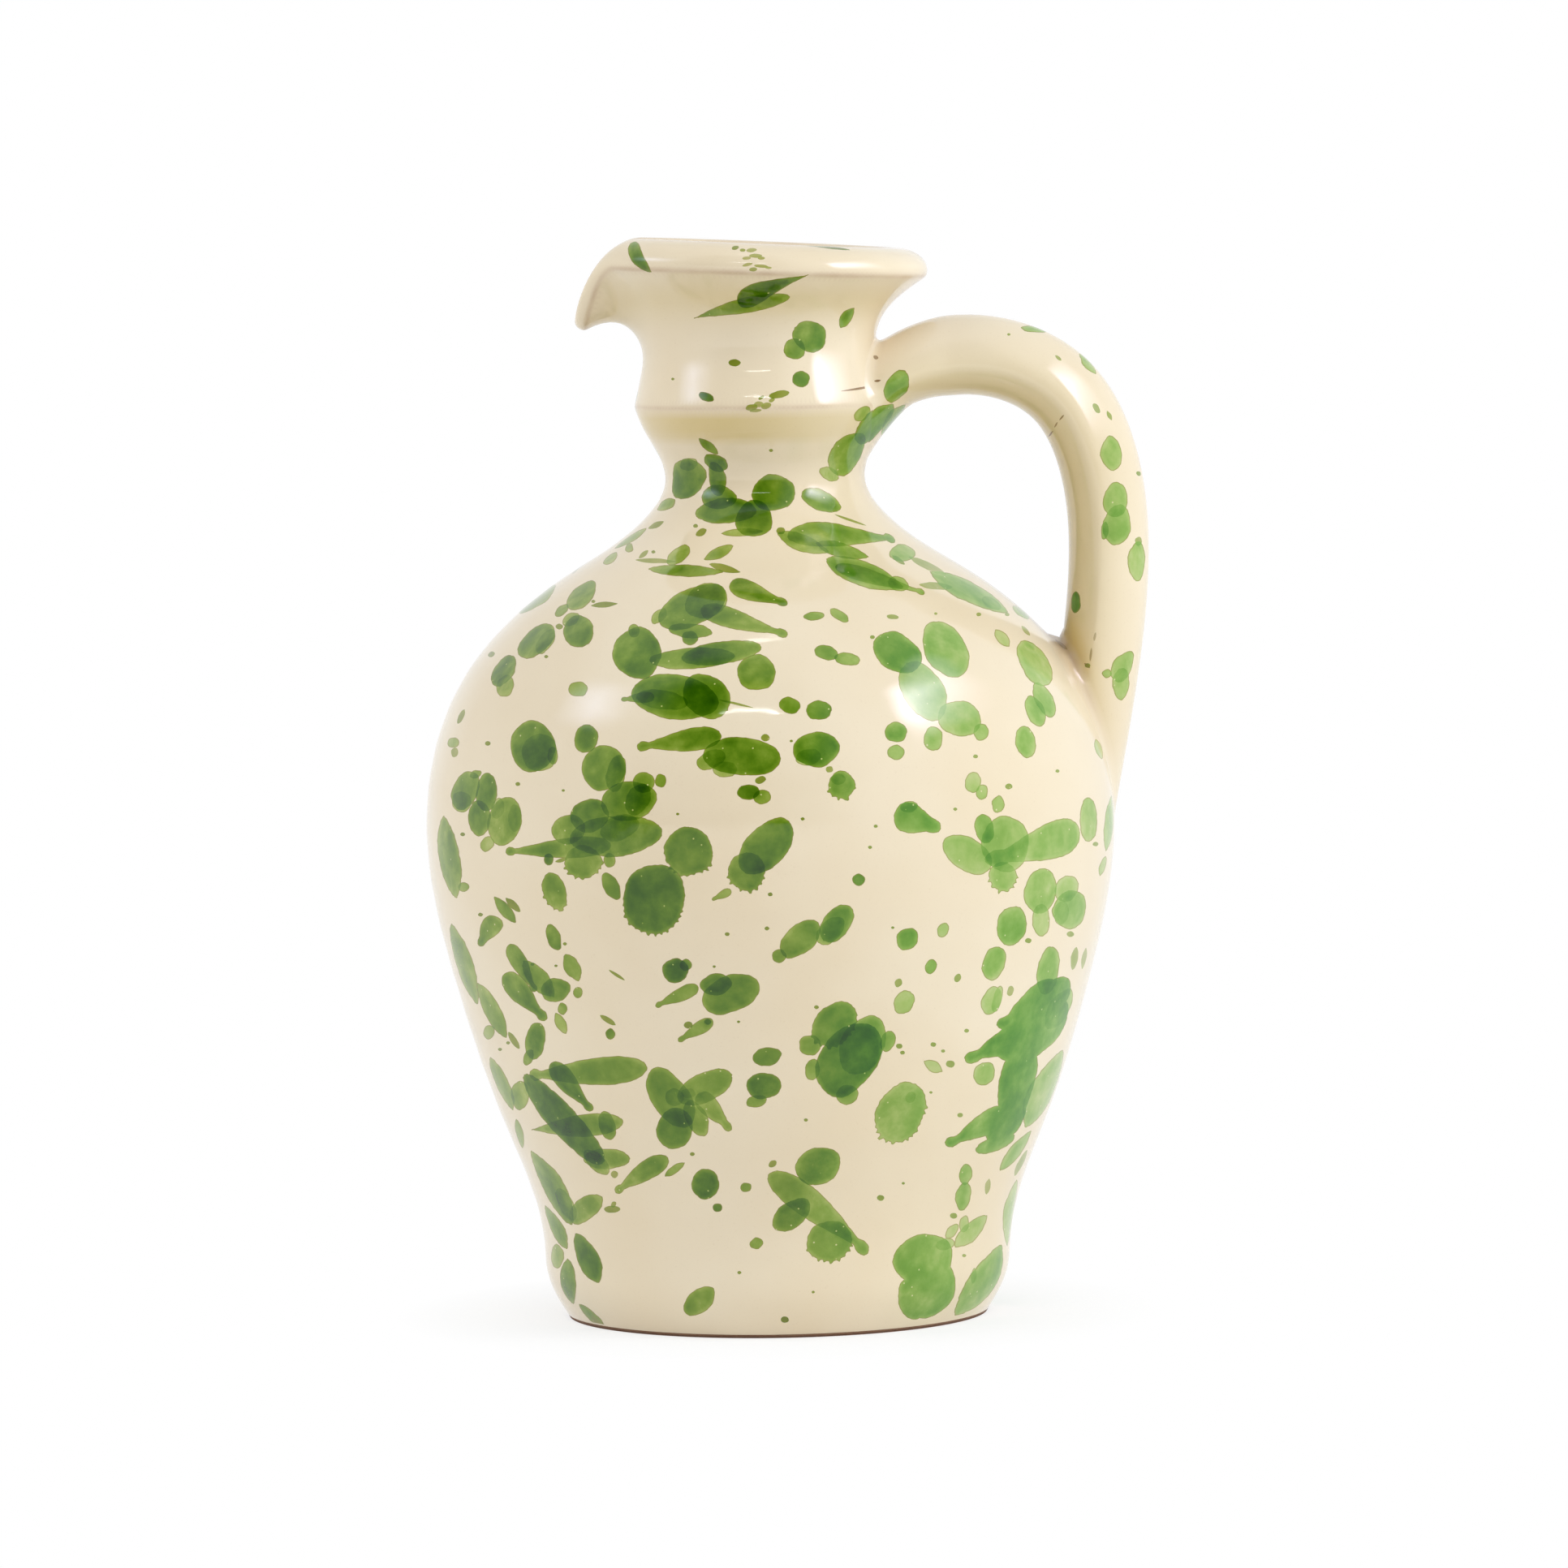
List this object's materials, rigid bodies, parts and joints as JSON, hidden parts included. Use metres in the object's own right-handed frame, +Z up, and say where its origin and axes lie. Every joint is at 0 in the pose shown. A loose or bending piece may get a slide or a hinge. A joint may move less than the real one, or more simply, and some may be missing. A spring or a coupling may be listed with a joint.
{
  "type": "oil bottle",
  "caption": "Hand-thrown ceramic oil bottle: ovoid belly, ridged narrow neck, flared mouth with a beaked pouring spout and a pulled strap handle, cream glaze with green splashes.",
  "frame": {"origin": "centre of the foot's flat underside", "axes": "+Z up the bottle's axis, +X towards the handle, -X towards the spout"},
  "size_m": [0.1412, 0.1336, 0.2098],
  "materials": {
    "splashed_glaze": "glossy cream glaze with translucent green splashes",
    "bare_clay": "unglazed fired clay, as in the seams and under the foot"
  },
  "bodies": {
    "root": {"body": "splashed_glaze", "neck_slip": "bare_clay", "neck": "splashed_glaze", "mouth_slip": "bare_clay", "mouth": "splashed_glaze", "handle": "splashed_glaze", "upper_luting": "splashed_glaze", "lower_luting": "splashed_glaze"}
  },
  "joints": []
}
